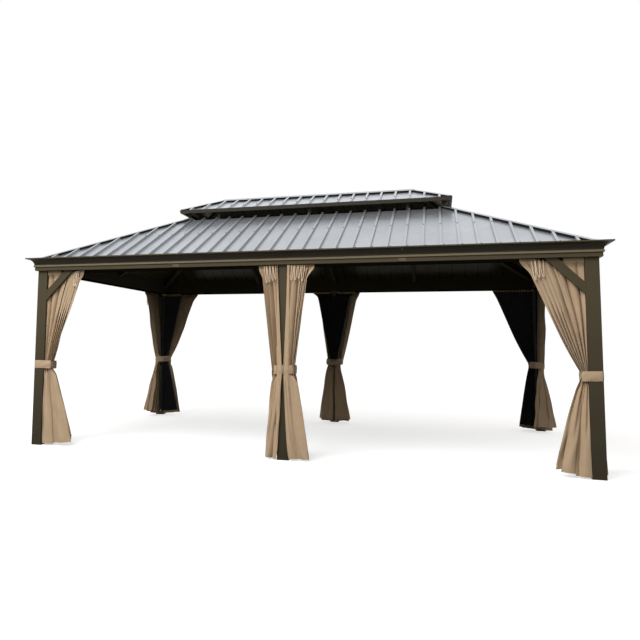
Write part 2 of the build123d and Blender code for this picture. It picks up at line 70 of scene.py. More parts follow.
# Each side: turn about Z from the front, distance of the post faces, half the clear length between corner posts
SIDES = {
    "front": (0, POST_FACE_Y, POST_FACE_X - POST_SIZE),
    "right": (90, POST_FACE_X, POST_FACE_Y - POST_SIZE),
    "back": (180, POST_FACE_Y, POST_FACE_X - POST_SIZE),
    "left": (270, POST_FACE_X, POST_FACE_Y - POST_SIZE),
}
LONG_SIDES = ("front", "back")

# The two hangings tied to each post: (side, end of that side seen from outside)
HANGINGS = {
    "front_left": (("front", "left"), ("left", "right")),
    "front_middle": (("front", "middle_left"), ("front", "middle_right")),
    "front_right": (("front", "right"), ("right", "left")),
    "back_left": (("back", "right"), ("left", "left")),
    "back_middle": (("back", "middle_left"), ("back", "middle_right")),
    "back_right": (("back", "left"), ("right", "right")),
}

# The shape of a hanging. Its mesh: detail is columns to a pleat, rows are above and below the strap.
# Above the strap: plain is the share of cloth by the post that hangs flat, the share of the rail it takes and its
# pleats; crease sharpens and lean tips the other pleats, room and brace_room bound their depth, belly and sway bow
# the cloth. Below it: settle is where the laps begin, stack their thickness, gathers, billow and crumple the size
# of their folds, waves the folds to a lap, rise how far the hem climbs away from the post. setback is from the
# post face, droop the sag between hooks, heading says that the top stands up in front of the rail.
ANY_CURTAIN = {
    "detail": 20, "rows": (48, 34), "heading": True, "crease": 0.42, "sway": 0.01, "droop": 0.0,
    "settle": 0.16, "stack": 0.032, "gathers": 0.014, "billow": 0.024, "crumple": 0.009,
}
CORNER_CURTAIN = {
    **ANY_CURTAIN, "plain": (0.19, 0.52, 2), "lean": 0.2, "belly": 0.3, "waves": 2.3, "room": 0.045,
    "brace_room": 0.021, "braced": 1.0, "setback": 0.05, "rise": 0.08, "wrap": None,
}
MIDDLE_CURTAIN = {
    **ANY_CURTAIN, "plain": (0.06, 0.33, 1), "lean": 0.34, "belly": 0.1, "waves": 1.7, "room": 0.052,
    "brace_room": 0.0, "braced": 0.0, "setback": 0.046, "rise": 0.04,
}
CORNER_NET = {
    "detail": 6, "rows": (32, 26), "heading": False, "crease": 1.0, "sway": 0.003, "droop": 0.004,
    "settle": None, "stack": 0.0, "gathers": 0.0, "billow": 0.0, "crumple": 0.002, "plain": (0.04, 0.06, 1),
    "lean": 0.0, "belly": 0.3, "waves": 1.0, "room": 0.014, "brace_room": 0.0, "braced": 0.0, "setback": 0.111,
    "rise": 0.03, "wrap": None, "ear": 0.01, "laps": (0, 1), "across": 0.0, "hem_out": -0.022,
}
MIDDLE_NET = {
    **CORNER_NET, "setback": 0.115, "hem_out": 0.0, "wrap": {"part": "net", "reach": 0.056, "out": -0.042},
}
NET_LIFT = 0.012

# Heading loops: cloth looked at beside each, gap in front of it, tuck above the rail's foot, range of half widths
LOOP_WINDOW, LOOP_GAP, LOOP_TUCK, LOOP_HALF_WIDTHS = 0.03, 0.007, 0.008, (0.011, 0.015)

# Lengths that all hangings share: gaps to rail, beam and post; half of what a brace covers along the rail, how far
# its middle is short of its reach, where it fades out; how far a heading stands out
RAIL_GAP, POST_GAP = 0.002, 0.003
BRACE_HALF, BRACE_INSET, BRACE_FADE = 0.13, 0.05, 0.05
HEADING_OUT = 0.012

# How cloth at a middle post is drawn over the post: by its edge above the strap, or with its skirt
EDGE_WRAP = {"part": "edge", "reach": 0.054, "out": 0.074, "face": 0.065, "top": 0.0, "haste": 1.2}
SKIRT_WRAP = {"part": "skirt", "reach": 0.057, "out": -0.1, "face": -0.076}

# How each curtain was drawn back: top, tie and hem are shares of the widths in the panel, ear is how far its top
# corner is pulled out, laps are the to-and-fro of its cloth below the strap from the post edge to the leading edge,
# across is half the depth of laps that stand across the rail, hem_out is how far the hem stands out
MANY_LAPS = (0, 0.9, 0.15, 1.0, 0.1, 0.75, 0, 1.0, 0.25, 0.95)
SLIM_LAPS = (0, 0.9, 0.05, 1.0, 0, 0.95, 0.1, 0.85, 0, 0.9, 0.05, 0.95)
BACK_LAPS = (0, 0.9, 0.1, 0.9, 0, 0.95, 0, 1.0)
SIDE_FIT = {"top": 1.0, "ear": 0.03, "tie": 1.0, "hem": 1.0, "laps": MANY_LAPS, "across": 0.0, "hem_out": 0.008}
END_FIT = {**SIDE_FIT, "across": 0.11, "hem_out": 0.02}
CURTAIN_FITS = {
    ("front", "left"): {"top": 0.88, "tie": 1.07, "hem": 1.28, "laps": (0, 0.42, 0.1, 1.0, 0.05, 0.95, 0.1, 0.9)},
    ("front", "right"): {"ear": 0.045, "tie": 0.65, "laps": (0, 0.46, 0.12, 0.84, 0.1, 1.0, 0.1, 0.95)},
    ("front", "middle_left"): {"top": 0.9, "hem": 0.84, "laps": SLIM_LAPS, "wrap": EDGE_WRAP},
    ("front", "middle_right"): {
        "ear": 0.06, "hem": 1.36, "laps": (0, 1.0, 0.1, 0.9, 0, 0.95, 0.1, 0.85), "rise": 0.0,
        "wrap": {**EDGE_WRAP, "top": 0.35},
    },
    ("back", "left"): {"top": 0.96, "tie": 0.8, "hem": 0.64},
    ("back", "right"): {"hem": 0.9, "laps": (0, 0.5, 0.1, 1.0, 0.05, 0.95, 0.1, 0.9)},
    ("back", "middle_left"): {"top": 1.45, "hem": 1.15, "laps": BACK_LAPS, "wrap": SKIRT_WRAP},
    ("back", "middle_right"): {"laps": BACK_LAPS, "wrap": SKIRT_WRAP},
    ("right", "right"): {"laps": (0.4, 1.0, 0.08, 0.92, 0, 1.0), "across": 0.16, "hem_out": -0.03},
}

# How far each net was drawn back: shares of the same widths at rail, strap and hem
NET_FITS = {
    ("front", "left"): (0.55, 0.5, 0.5), ("front", "right"): (0.55, 0.5, 0.5),
    ("front", "middle_left"): (0.7, 0.5, 0.3), ("front", "middle_right"): (0.7, 0.5, 0.3),
    ("back", "left"): (1.03, 0.9, 0.72), ("back", "right"): (0.55, 0.6, 0.85),
    ("back", "middle_left"): (1.3, 0.5, 0.3), ("back", "middle_right"): (1.3, 0.5, 0.3),
}
END_NET_FIT = (0.24, 0.55, 0.24)

POST_NODES = [f"{row}_{column}_post" for row in LONG_SIDES for column in ("left", "middle", "right")]
BRONZE_NODES = ["corner_braces", "crown_frame", "crown_struts"]
CORNICE_NODES = [f"{side}_cornice" for side in SIDES] + ["cornice_corners"]
INNER_NODES = (
    [f"{side}_beam" for side in SIDES]
    + ["hip_rafters", "rafters", "purlins", "upper_ring", "upper_hip_rafters", "ridge_bar"]
)
# Height of the cornice's bead above its bottom, and half the height of the painted highlight along it
BEAD_RISE, BEAD_HALF = 0.05, 0.01
LOWER_ROOF_NODES = [f"lower_roof_{side}" for side in SIDES] + ["hip_caps", "ridge_cap"]
UPPER_ROOF_NODES = [f"upper_roof_{side}" for side in SIDES] + ["upper_hip_caps"]


def colour_setting(name, description, default):
    """A colour in the panel."""
    return FloatVectorProperty(
        name=name, description=description, subtype="COLOR", size=3, min=0, max=1, default=default,
    )


def length_setting(name, description, default):
    """A length in the panel, in metres."""
    return FloatProperty(name=name, description=description, unit="LENGTH", default=default)


def angle_setting(name, description, default):
    """An angle in the panel, in radians."""
    return FloatProperty(name=name, description=description, unit="ROTATION", default=default)


class GazeboFinishes(bpy.types.PropertyGroup):
    frame_colour: colour_setting(
        "Frame colour", "Bronze powder coat of posts, beams and gutter", (0.06, 0.048, 0.028))
    trim_colour: colour_setting("Trim colour", "Coat of the fascia round the upper roof", (0.04, 0.035, 0.026))
    roof_colour: colour_setting("Roof colour", "Coated steel of the roof panels and caps", (0.47, 0.495, 0.53))
    underside_colour: colour_setting("Underside colour", "Back coat of the roof panels", (0.04, 0.035, 0.013))
    cloth_colour: colour_setting(
        "Curtain colour", "Woven polyester of curtains, straps and net hems", (0.46, 0.333, 0.216))
    net_colour: colour_setting("Net colour", "Fine insect mesh", (0.012, 0.012, 0.012))


class GazeboCloth(bpy.types.PropertyGroup):
    cut_length: length_setting("Cut length", "Length of a curtain or net before it is hung", 1.95)
    long_bay_width: length_setting("Long bay width", "Flat width of a curtain or net on the long sides", 1.42)
    end_bay_width: length_setting("End bay width", "Flat width of a curtain or net on the ends", 1.6)
    curtain_folds: IntProperty(
        name="Curtain folds", description="Pleats of one gathered curtain", default=5, min=4, max=30,
    )
    net_folds: IntProperty(
        name="Net folds", description="Pleats of one gathered net", default=25, min=6, max=40,
    )
    corner_spread: length_setting("Corner spread", "Width of a curtain along the rail at a corner post", 0.51)
    middle_spread: length_setting("Middle spread", "Width of a curtain along the rail at a middle post", 0.2)
    corner_tie: length_setting("Corner tie", "Width of a curtain inside the strap of a corner post", 0.075)
    middle_tie: length_setting("Middle tie", "Width of a curtain inside the strap of a middle post", 0.058)
    corner_hem: length_setting("Corner hem", "Width of a curtain at its hem by a corner post", 0.305)
    middle_hem: length_setting("Middle hem", "Width of a curtain at its hem by a middle post", 0.165)
    hem_height: length_setting("Hem height", "Height of the hem above the ground at the post", 0.01)
    loop_depth: length_setting("Loop depth", "How far the heading loops hang below the rail", 0.19)
    cord_radius: length_setting("Cord radius", "Radius of the cord of the heading loops", 0.0036)


class GazeboFasteners(bpy.types.PropertyGroup):
    rib_spacing: length_setting("Rib spacing", "Distance between the roof's ribs", 0.174)
    rib_height: length_setting("Rib height", "Height of the ribs above the pans", 0.025)
    screw_radius: length_setting("Screw radius", "Radius of a roofing screw's washer", 0.008)
    screw_height: length_setting("Screw height", "Height of a roofing screw's head", 0.006)
    hook_radius: length_setting("Hook radius", "Radius of a net hook's ring", 0.012)
    hook_wire: length_setting("Hook wire", "Radius of a net hook's wire", 0.0032)


class GazeboStage(bpy.types.PropertyGroup):
    camera_place: FloatVectorProperty(
        name="Camera place", description="Where the camera stands", subtype="XYZ", unit="LENGTH", size=3,
        default=(1.5224, -7.9051, 1.1694),
    )
    camera_turn: angle_setting("Camera turn", "Turn to the left of straight ahead", 0.2784)
    camera_tilt: angle_setting("Camera tilt", "Tilt above level", 0.0878)
    camera_roll: angle_setting("Camera roll", "Roll about the view line", 0.0102)
    lens: FloatProperty(
        name="Lens", description="Focal length on a 36 mm sensor, in millimetres", default=34.962,
    )
    shift_x: FloatProperty(name="Shift X", description="Sideways shift of the picture", default=0.0937)
    shift_y: FloatProperty(name="Shift Y", description="Upward shift of the picture", default=-0.0488)
    key_power: FloatProperty(
        name="Key power", description="Power of the soft light above the front", unit="POWER", default=1250,
    )


# Nodes, for shaders and for geometry

SOCKET_KINDS = {"Places": "Geometry", "Geometry": "Geometry", "Material": "Material"}


def feed(tree, node, inputs):
    """Links a node's inputs to sockets, or sets them to values; inputs go by their place or their name."""
    for key, value in inputs.items():
        if isinstance(value, bpy.types.NodeSocket):
            tree.links.new(value, node.inputs[key])
        else:
            node.inputs[key].default_value = value
    return node


def add_node(tree, kind, inputs):
    """A new node, with its inputs linked or set."""
    return feed(tree, tree.nodes.new(kind), inputs)


def new_group(name, kind, inputs, outputs):
    """A new node group, what comes in and the node where its results go; sockets are numbers unless listed above."""
    tree = bpy.data.node_groups.new(name, f"{kind}NodeTree")
    for in_out, labels in (("INPUT", inputs), ("OUTPUT", outputs)):
        for label in labels:
            socket_type = "NodeSocket" + SOCKET_KINDS.get(label, "Float")
            tree.interface.new_socket(name=label, in_out=in_out, socket_type=socket_type)
    return tree, tree.nodes.new("NodeGroupInput").outputs, tree.nodes.new("NodeGroupOutput")


def math_node(tree, operation, first, second=0.0):
    """The outcome of a math node on sockets or numbers."""
    node = add_node(tree, "ShaderNodeMath", {0: first, 1: second})
    node.operation = operation
    return node.outputs[0]


def scaled(tree, value, factor, offset):
    """A value times a factor, plus an offset."""
    return math_node(tree, "ADD", math_node(tree, "MULTIPLY", value, factor), offset)


def mix_colour(tree, factor, first, second):
    """A colour mix by a socket, between sockets or colours."""
    node = tree.nodes.new("ShaderNodeMix")
    node.data_type = "RGBA"
    return feed(tree, node, {0: factor, 6: first, 7: second}).outputs[2]


def split(tree, vector):
    """The X, Y and Z sockets of a vector."""
    return add_node(tree, "ShaderNodeSeparateXYZ", {0: vector}).outputs


def spots(tree, label):
    """A texture coordinate's socket, such as Object or Normal."""
    return tree.nodes.new("ShaderNodeTexCoord").outputs[label]


def ramp(tree, value, start, end):
    """A value mapped to go from 0 at start to 1 at end."""
    return add_node(tree, "ShaderNodeMapRange", {"Value": value, "From Min": start, "From Max": end}).outputs[0]


def noise(tree, place, scale, detail):
    """Soft noise about one half."""
    inputs = {"Vector": place, "Scale": scale, "Detail": detail}
    return add_node(tree, "ShaderNodeTexNoise", inputs).outputs["Fac"]


def bumps(tree, height, strength, distance):
    """A normal bent by a height."""
    inputs = {"Height": height, "Strength": strength, "Distance": distance}
    return add_node(tree, "ShaderNodeBump", inputs).outputs["Normal"]


def coat_grain_group():
    """Fine orange peel and broad cloudiness of a sprayed coat."""
    tree, given, sink = new_group("Coat grain", "Shader", ("Peel scale", "Cloud scale"), ("Peel", "Cloud"))
    place = spots(tree, "Object")
    for label, detail in (("Peel", 2.0), ("Cloud", 4.0)):
        feed(tree, sink, {label: noise(tree, place, given[f"{label} scale"], detail)})
    return tree


def weave_group():
    """Plain weave on the cloth's own map: thread height, and a slow change of tone."""
    tree, given, sink = new_group("Plain weave", "Shader", ("Threads per metre", "Tone scale"), ("Height", "Tone"))
    cloth_map = tree.nodes.new("ShaderNodeUVMap")
    cloth_map.uv_map = "cloth"
    place = split(tree, cloth_map.outputs["UV"])
    angle = math_node(tree, "MULTIPLY", given["Threads per metre"], math.pi)
    across, along = (
        math_node(tree, "SINE", math_node(tree, "MULTIPLY", place[axis], angle)) for axis in ("X", "Y")
    )
    height = math_node(tree, "MULTIPLY", across, along)
    feed(tree, sink, {"Height": height, "Tone": noise(tree, cloth_map.outputs["UV"], given["Tone scale"], 5.0)})
    return tree


def place_group(tree, name, build, inputs):
    """Places a shared node group, built the first time it is asked for, in a material."""
    node = tree.nodes.new("ShaderNodeGroup")
    node.node_tree = bpy.data.node_groups.get(name) or build()
    return feed(tree, node, inputs).outputs


# Materials

def new_material(name):
    """A new node material; returns it, its tree and its principled shader."""
    material = bpy.data.materials.new(name)
    material.use_nodes = True
    tree = material.node_tree
    return material, tree, tree.nodes["Principled BSDF"]


def toned(colour, factor):
    """A lighter or darker copy of a colour."""
    return tuple(min(1.0, channel * factor) for channel in colour)


def tinted(colour, factor):
    """A lighter or darker copy of a colour, with alpha."""
    return (*toned(colour, factor), 1.0)


def coated_metal(name, colour, roughness, spread, gloss, foot=1.0, dust=None, rubbed=(0.0, 0.0)):
    """Powder-coated metal with a cloudy tone and a fine peel, and painted shade towards the ground if its share
    there is below one.

    With a pair of shares, faces that look down get painted shade and faces that slope up get painted light; the band
    between the two given heights gets a painted highlight.
    """
    material, tree, shader = new_material(name)
    coat = place_group(tree, "Coat grain", coat_grain_group, {"Peel scale": 900.0, "Cloud scale": 2.5})
    tone = mix_colour(tree, coat["Cloud"], tinted(colour, 1 - spread), tinted(colour, 1 + spread))
    # Painted shade: the colour darkens towards the ground, below 1.8 times the strap's height
    if foot < 1:
        unshaded = ramp(tree, split(tree, spots(tree, "Object"))["Z"], 0.0, 1.8 * TIE_HEIGHT)
        tone = mix_colour(tree, unshaded, tinted(colour, foot), tone)
    # Painted shade on faces that look down, painted light on faces that slope up, and a painted highlight on the
    # band between the two given heights
    if dust:
        facing = split(tree, spots(tree, "Normal"))["Z"]
        downward, upward, not_level = (
            ramp(tree, facing, start, end) for start, end in ((0.02, -0.3), (0.15, 0.6), (0.97, 0.85))
        )
        tone = mix_colour(tree, downward, tone, tinted(colour, dust[0]))
        height = split(tree, spots(tree, "Object"))["Z"]
        away = math_node(tree, "ABSOLUTE", math_node(tree, "SUBTRACT", height, sum(rubbed) / 2))
        in_highlight = math_node(tree, "LESS_THAN", away, (rubbed[1] - rubbed[0]) / 2)
        sloping = math_node(tree, "MULTIPLY", upward, not_level)
        painted_lit = math_node(tree, "MAXIMUM", sloping, math_node(tree, "MULTIPLY", in_highlight, 0.8))
        tone = mix_colour(tree, painted_lit, tone, tinted([channel + 0.02 for channel in colour], dust[1]))
    feed(tree, shader, {
        "Base Color": tone, "Roughness": scaled(tree, coat["Cloud"], 0.12, roughness),
        "Specular IOR Level": gloss, "Normal": bumps(tree, coat["Peel"], 0.08, 0.0006),
    })
    return material


def roof_steel(name, colour, underside):
    """Glossy coated steel with cloudy tone above, a dull brown back coat with dark seams below."""
    material, tree, shader = new_material(name)
    coat = place_group(tree, "Coat grain", coat_grain_group, {"Peel scale": 500.0, "Cloud scale": 1.3})
    object_spot = spots(tree, "Object")
    facing = split(tree, spots(tree, "Normal"))
    # Faces that look down take the back coat; the ramp ends just above level, so the ribs' upright sides take about
    # a quarter of it too, a painted shade
    above = ramp(tree, facing["Z"], -0.2, 0.06)
    cloudy = mix_colour(tree, coat["Cloud"], tinted(colour, 0.8), tinted(colour, 1.2))

    # Seams run up each slope under its ribs: spaced along Y on the ends, along X on the long sides
    place = split(tree, object_spot)
    half_spacing = bpy.context.scene.gazebo_fasteners.rib_spacing / 2
    along_x, along_y = (math_node(tree, "PINGPONG", place[axis], half_spacing) for axis in ("X", "Y"))
    lean_x, lean_y = (math_node(tree, "ABSOLUTE", facing[axis]) for axis in ("X", "Y"))
    on_end = math_node(tree, "GREATER_THAN", lean_x, lean_y)
    on_side = math_node(tree, "SUBTRACT", 1.0, on_end)
    gap = math_node(
        tree, "ADD", math_node(tree, "MULTIPLY", along_y, on_end), math_node(tree, "MULTIPLY", along_x, on_side)
    )
    seam = math_node(tree, "LESS_THAN", gap, 0.009)
    slats = mix_colour(tree, seam, tinted(underside, 1.0), tinted(underside, 0.15))
    feed(tree, shader, {
        "Base Color": mix_colour(tree, above, slats, cloudy), "Metallic": math_node(tree, "MULTIPLY", above, 0.85),
        "Roughness": scaled(tree, noise(tree, object_spot, 7.0, 6.0), 0.22, 0.2),
        "Specular IOR Level": 0.05, "Normal": bumps(tree, coat["Cloud"], 0.04, 0.01),
    })
    return material


def woven_cloth(name, colour, threads, roughness, sheen):
    """Woven cloth with thread bump and a slow change of tone, made the first time it is asked for."""
    if name in bpy.data.materials:
        return bpy.data.materials[name]
    material, tree, shader = new_material(name)
    cloth = place_group(tree, "Plain weave", weave_group, {"Threads per metre": threads, "Tone scale": 6.0})
    feed(tree, shader, {
        "Base Color": mix_colour(tree, cloth["Tone"], tinted(colour, 0.84), tinted(colour, 1.14)),
        "Roughness": roughness, "Sheen Weight": sheen, "Specular IOR Level": 0.2,
        "Normal": bumps(tree, cloth["Height"], 0.25, 0.0008),
    })
    return material


def curtain_cloth():
    return woven_cloth("tan_polyester", bpy.context.scene.gazebo_finishes.cloth_colour, 900.0, 0.85, 0.15)


def heading_tape():
    colour = bpy.context.scene.gazebo_finishes.cloth_colour
    pale = tuple(min(1.0, 0.18 + 1.3 * channel) for channel in colour)
    return woven_cloth("pale_heading_tape", pale, 600.0, 0.8, 0.1)


def net_mesh():
    return woven_cloth("black_insect_mesh", bpy.context.scene.gazebo_finishes.net_colour, 500.0, 0.7, 0.05)


# Objects

def put(name, data):
    """A new object in the scene, at the origin."""
    piece = bpy.data.objects.new(name, data)
    bpy.context.scene.collection.objects.link(piece)
    return piece


def declare(piece, stands_for=None):
    """Puts a piece on the part's one body and hides the node that it replaces."""
    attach(piece, "root")
    if stands_for:
        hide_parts(stands_for)


def to_side(points, turn):
    """Turns points made for the front round to another side."""
    angle = math.radians(turn)
    turned = points.copy()
    turned[..., 0] = points[..., 0] * math.cos(angle) - points[..., 1] * math.sin(angle)
    turned[..., 1] = points[..., 0] * math.sin(angle) + points[..., 1] * math.cos(angle)
    return turned


def grid_object(name, points, flat, materials, closed=False, shares=None):
    """A grid of points (rows, columns, 3) as a smooth mesh with a map in metres; the last material binds the hem."""
    rows, columns = points.shape[:2]
    ring = np.arange(columns + closed) % columns
    shares = np.linspace(0, 1, len(ring)) if shares is None else shares

    def corners(grid):
        return np.stack([grid[1:, :-1], grid[1:, 1:], grid[:-1, 1:], grid[:-1, :-1]], axis=2)

    quads = corners(np.arange(rows)[:, None] * columns + ring)
    chart = corners(np.stack(np.meshgrid(shares, np.arange(rows) / (rows - 1)), axis=-1) * np.array(flat))
    marks = np.zeros(quads.shape[:2], np.int32)
    marks[-1] = len(materials) - 1
    mesh = bpy.data.meshes.new(name)
    mesh.from_pydata(points.reshape(-1, 3).tolist(), [], quads.reshape(-1, 4).tolist())
    mesh.uv_layers.new(name="cloth").data.foreach_set("uv", chart.reshape(-1).astype(np.float32))
    for material in materials:
        mesh.materials.append(material)
    mesh.polygons.foreach_set("material_index", marks.reshape(-1))
    mesh.polygons.foreach_set("use_smooth", np.ones(marks.size, bool))
    mesh.update()
    return put(name, mesh)


# Cloth

def waves(rng, count, reach):
    """A smooth seeded wander over two coordinates, about one in size at most."""
    terms = [
        (rng.uniform(0.35, 1.0) * reach[0], rng.uniform(0.35, 1.0) * reach[1], rng.uniform(0, 2 * math.pi))
        for _ in range(count)
    ]

    def wander(a, b):
        return sum(np.sin(ka * a + kb * b + phase) for ka, kb, phase in terms) / count

    return wander


def eased(x):
    """A smooth step from 0 to 1."""
    x = np.clip(x, 0, 1)
    return x * x * (3 - 2 * x)


def pleat_columns(shape, wander):
    """Where columns stand across a cloth, so that each crease has its own, and the pleats counted up to each."""
    plain, _, plain_folds = shape["plain"]
    total = shape["folds"] + plain_folds
    s = np.linspace(0, 1, 4001)
    gathered = plain_folds + shape["folds"] * (s - plain) / (1 - plain)
    count = np.where(s < plain, plain_folds * s / plain, gathered) + 0.35 * wander(s, 0)
    count = np.maximum.accumulate(count)
    count = (count - count[0]) / (count[-1] - count[0]) * total
    turns = np.linspace(0, total, total * shape["detail"] + 1)
    return np.interp(turns, count, s)[None, :], turns[None, :]


def pleats(shape, s, turns, t, h, spread, wander, ripple):
    """Cloth above the strap: places along and out from the rail, and the pleats' own depth.

    Pleats have broad fronts and narrow creases, and are flatter where a brace crosses in front. The cloth by the
    post hangs flat near the rail, and the rest is gathered.
    """
    plain, share, plain_folds = shape["plain"]
    width, room = shape["width"], shape["room"]
    opened = np.where(s < plain, s / plain * share, share + (s - plain) / (1 - plain) * (1 - share))
    base = s + (opened - s) * h ** 0.7
    fold_cloth = width * np.where(s < plain, plain / plain_folds, (1 - plain) / shape["folds"])
    stretch = np.gradient(base, s[0], axis=1) * spread / width
    depth = np.minimum(fold_cloth / 4 * np.sqrt(np.clip(1 - stretch ** 2, 0.01, 1)), room)
    crest = np.abs(np.cos(math.pi * turns)) ** shape["crease"]
    fine = depth * (2 * crest - 1) * (0.93 + 0.1 * ripple(s, 0.5 * t))
    fine = np.minimum(fine, room - shape["brace_room"] * eased((h - 0.4) / 0.3))
    lean = shape["lean"] * eased((s - plain) / 0.08)
    along = spread * (base * (1 - lean) + lean * crest) + 0.005 * wander(3 * s, 3 * t) * (1 - h ** 3)
    out = fine + shape["sway"] * wander(s, t) * h * (1 - h) * 2
    out = out + shape["crumple"] * ripple(0.4 * s, 2.2 * t) * (1 - h ** 4)
    return along, out, fine


def skirt(shape, s, t, g, spread, phases, wander, ripple):
    """Cloth below the strap: places along and out from the rail, and the share of each lap.

    The cloth lies to and fro in a few broad layers along the rail, or in deep folds that stand across it. The
    laps' turns are rounded over a share of the cloth.
    """
    turn = 0.036 if shape["across"] else 0.012
    knots = np.linspace(0, 1, len(shape["laps"]))
    lap = sum(np.interp(s + shift, knots, shape["laps"]) for shift in np.linspace(-turn, turn, 9)) / 9
    gathers = np.cos(2 * math.pi * 4.5 * lap + phases[0] + 2 * wander(lap, t)) * (1 - g) ** 1.5
    swing = np.abs(np.cos(math.pi * (shape["waves"] * lap + 0.25 * g) + phases[1] / 2))
    billow = (2 * swing ** 0.65 - 1) * np.sqrt(g)
    crumple = ripple(0.5 * lap, 2.2 * t)
    swell = shape["gathers"] * gathers + shape["billow"] * billow + shape["crumple"] * crumple
    if shape["across"]:
        along = s * spread
        out = shape["across"] * (2 * lap - 1) * g ** 0.7 + shape["hem_out"] * g
    else:
        along = lap * spread
        out = shape["stack"] * (1 - 2 * s) + shape["hem_out"] * g
    return along + 0.004 * ripple(0.1 * lap, 2 * t), out + swell * eased(g / 0.08), lap


def hanging(face, start, way, shape, seed):
    """Points of one gathered cloth on the front: rows from the rail to the hem, columns from the post outwards.

    t is 1 at the rail, 0 at the strap and -1 at the hem, h and g its parts above and below the strap, s the share
    of the cloth's width.
    """
    rng = np.random.default_rng(seed)
    wander = waves(rng, 5, (9, 3))
    ripple = waves(rng, 7, (40, 9))
    s, turns = pleat_columns(shape, wander)
    above, below = shape["rows"]
    top_rows = [1.02, 1.01, 1, 0.985] if shape["heading"] else [1, 0.99]
    t = np.concatenate([top_rows, np.linspace(0.97, 0, above), -np.linspace(0, 1, below)[1:]])[:, None]
    h, g = np.clip(t, 0, 1), np.clip(-t, 0, 1)

    # Spread along the rail: nearly straight down to the tie, then out again to the hem
    spread = shape["tie"] + (shape["top"] - shape["tie"]) * (h + shape["belly"] * h * (1 - h) ** 2)
    spread = spread + (shape["hem"] - shape["tie"]) * g ** 0.8

    along, out, fine = pleats(shape, s, turns, t, h, spread, wander, ripple)
    low_along, low_out, lap = skirt(shape, s, t, g, spread, rng.uniform(0, 2 * math.pi, 2), wander, ripple)
    low = eased(g / shape["settle"]) if shape["settle"] else 0.0
    along = along * (1 - low) + low_along * low
    out = out * (1 - low) + low_out * low

    # Top corner pulled out; heading stood up in front of the rail where no brace meets the beam
    along = along + shape["ear"] * eased((h - 0.88) / 0.12) * np.clip((s - 0.8) / 0.2, 0, 1)
    top = RAIL_FOOT - RAIL_GAP
    hem = shape["hem_height"] + shape["rise"] * s ** 1.4 + 0.3 * shape["billow"] * (1 + ripple(0.25 * lap, t))
    z = np.where(t >= 0, TIE_HEIGHT + h * (top - TIE_HEIGHT), TIE_HEIGHT - g * (TIE_HEIGHT - hem))
    z = z - shape["droop"] * np.sin(math.pi * turns) ** 2 * h ** 8
    if shape["heading"]:
        to_brace = np.abs(along - (BRACE_REACH - BRACE_INSET))
        clear = 1 - eased((BRACE_HALF - to_brace) / BRACE_FADE) * shape["braced"]
        risen = BEAM_HEIGHT - RAIL_GAP - top - 0.003 * np.abs(ripple(s, 0))
        z = z + clear * np.clip((t - 1) / 0.02, 0, 1) * risen
        stand = clear * eased((t - 0.95) / 0.045)
        out = out * (1 - stand) + stand * (shape["setback"] - RAIL_SETBACK + HEADING_OUT + 0.12 * fine)

    along, out = drawn_over_post(s, h, g, along, out, shape["wrap"])
    points = np.empty(z.shape + (3,))
    points[..., 0] = start + way * along
    points[..., 1] = -(face - shape["setback"]) - out
    points[..., 2] = z
    return points, s[0]


def drawn_over_post(s, h, g, along, out, wrap):
    """Draws cloth at a middle post over the post's face near the tie; elsewhere keeps it beside the post."""
    if wrap is None:
        return np.maximum(along, POST_GAP), out
    if wrap["part"] == "net":
        pull = np.clip((1 - h) / 0.06, 0, 1) * np.clip(1 - g / 0.06, 0, 1)
        along = along - wrap["reach"] * pull
        out = out + wrap["out"] * np.clip((1 - h) / 0.05, 0, 1) * np.clip(1 - g / 0.09, 0, 1)
        return np.where(pull > 0.02, along, np.maximum(along, POST_GAP)), out
    if wrap["part"] == "skirt":
        pull = eased(g / 0.06)
        along = np.maximum(along, POST_GAP) * (1 + wrap["reach"] / 0.165 * pull) - wrap["reach"] * pull
        out = out + wrap["out"] * pull
        return along, np.where(along < 0.004, np.minimum(out, wrap["face"]), out)
    near = np.clip(1 - s / 0.14, 0, 1)
    pull = ((1 - h) ** wrap["haste"] + h * wrap["top"]) * (1 - g) ** 0.7
    fold = np.clip(near ** 0.7 * pull, 0, 1)
    along = along * (1 - fold) - wrap["reach"] * near * pull
    out = out * (1 - 0.8 * fold) + wrap["out"] * fold
    return along, np.where(along < 0.004, np.maximum(out, wrap["face"]), out)


def end_of(side, end):
    """Where a hanging starts on its side, and which way it spreads."""
    half = SIDES[side][2]
    middle = POST_SIZE / 2
    return {
        "left": (-half, 1), "right": (half, -1), "middle_left": (-middle, -1), "middle_right": (middle, 1),
    }[end]


def fit_of(side, end):
    """How one curtain was drawn back."""
    return {**(SIDE_FIT if side in LONG_SIDES else END_FIT), **CURTAIN_FITS.get((side, end), {})}


def drawn_widths(end, shares):
    """Widths of a hanging at rail, strap and hem, from its shares of the widths in the panel."""
    cloth = bpy.context.scene.gazebo_cloth
    kind = "middle" if end.startswith("middle") else "corner"
    sizes = (getattr(cloth, f"{kind}_{spot}") for spot in ("spread", "tie", "hem"))
    return {key: share * size for key, share, size in zip(("top", "tie", "hem"), shares, sizes)}


def hang(layer, first_seed, shape_of, materials, trim_of):
    """Hangs one layer of cloth at every post and declares each sheet with its trimmings."""
    cloth = bpy.context.scene.gazebo_cloth
    seed = first_seed
    for post, pair in HANGINGS.items():
        for side, end in pair:
            turn, face, _ = SIDES[side]
            start, way = end_of(side, end)
            width = cloth.long_bay_width if side in LONG_SIDES else cloth.end_bay_width
            shape = {**shape_of(side, end), "width": width}
            points, shares = hanging(face, start, way, shape, seed)
            flat = (width, cloth.cut_length)
            name = f"{post}_{layer}_{side}_{end}"
            piece = grid_object(name, to_side(points, turn), flat, materials, shares=shares)
            declare(piece, f"{post}_{layer}s")
            trims = trim_of(name, points, turn, (start, way), shape, seed)
            seed += 7


